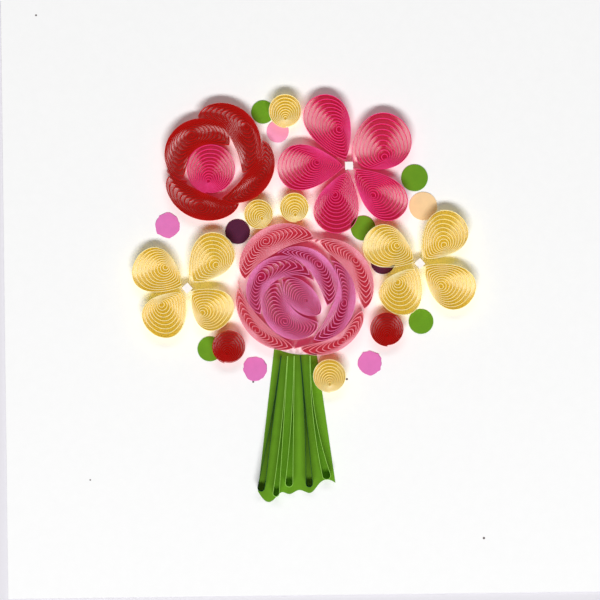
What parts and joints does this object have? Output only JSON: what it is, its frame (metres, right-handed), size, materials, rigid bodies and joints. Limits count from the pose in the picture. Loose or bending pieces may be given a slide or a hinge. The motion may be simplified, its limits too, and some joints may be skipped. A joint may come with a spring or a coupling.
{
  "type": "quilled paper art card",
  "caption": "Square white card with a bouquet of flowers made of coiled paper strips standing on edge, with paper dots and a looped green stem.",
  "frame": {"origin": "middle of the card's back face, which is the bottom of the whole part", "axes": "+Z out of the front of the card, +Y up the bouquet from its stem to its flowers, +X to the right"},
  "size_m": [0.1524, 0.1524, 0.0036],
  "materials": {
    "card_white": "matte uncoated paper",
    "paper_red": "matte uncoated paper",
    "paper_magenta": "matte uncoated paper",
    "paper_rose": "matte uncoated paper",
    "paper_pink": "matte uncoated paper",
    "paper_yellow": "matte uncoated paper",
    "paper_white": "matte uncoated paper",
    "paper_leaf_green": "matte uncoated paper",
    "paper_light_green": "matte uncoated paper",
    "paper_dark_green": "matte uncoated paper",
    "paper_purple": "matte uncoated paper",
    "paper_violet": "matte uncoated paper",
    "paper_light_pink": "matte uncoated paper",
    "paper_peach": "matte uncoated paper"
  },
  "bodies": {
    "root": {"card": "card_white", "green_dot_1": "paper_leaf_green", "green_dot_2": "paper_leaf_green", "green_dot_3": "paper_leaf_green", "green_dot_4": "paper_leaf_green", "green_dot_5": "paper_leaf_green", "left_yellow_flower_centre": "paper_white", "left_yellow_petal_1": "paper_yellow", "left_yellow_petal_2": "paper_yellow", "left_yellow_petal_3": "paper_yellow", "left_yellow_petal_4": "paper_yellow", "magenta_flower_centre": "paper_white", "magenta_petal_1": "paper_magenta", "magenta_petal_2": "paper_magenta", "magenta_petal_3": "paper_magenta", "magenta_petal_4": "paper_magenta", "magenta_petal_5": "paper_magenta", "peach_dot_1": "paper_peach", "pink_dot_1": "paper_light_pink", "purple_dot_1": "paper_purple", "purple_dot_2": "paper_purple", "red_coil_1": "paper_red", "red_coil_2": "paper_red", "red_flower_centre_coil": "paper_magenta", "red_petal_1": "paper_red", "red_petal_2": "paper_red", "red_petal_3": "paper_red", "red_petal_4": "paper_red", "right_yellow_flower_centre": "paper_white", "right_yellow_petal_1": "paper_yellow", "right_yellow_petal_2": "paper_yellow", "right_yellow_petal_3": "paper_yellow", "right_yellow_petal_4": "paper_yellow", "rose_core_petal_1": "paper_rose", "rose_core_petal_2": "paper_rose", "rose_outer_petal_1": "paper_pink", "rose_outer_petal_2": "paper_pink", "rose_outer_petal_3": "paper_pink", "rose_outer_petal_4": "paper_pink", "rose_ring_petal_1": "paper_rose", "rose_ring_petal_2": "paper_rose", "rose_ring_petal_3": "paper_rose", "stem_loop_1": "paper_dark_green", "stem_loop_2": "paper_light_green", "stem_loop_3": "paper_light_green", "stem_loop_4": "paper_dark_green", "stem_loop_5": "paper_light_green", "stem_sheet": "paper_leaf_green", "violet_dot_1": "paper_violet", "violet_dot_2": "paper_violet", "violet_dot_3": "paper_violet", "yellow_coil_1": "paper_yellow", "yellow_coil_2": "paper_yellow", "yellow_coil_3": "paper_yellow", "yellow_coil_4": "paper_yellow"}
  },
  "joints": []
}
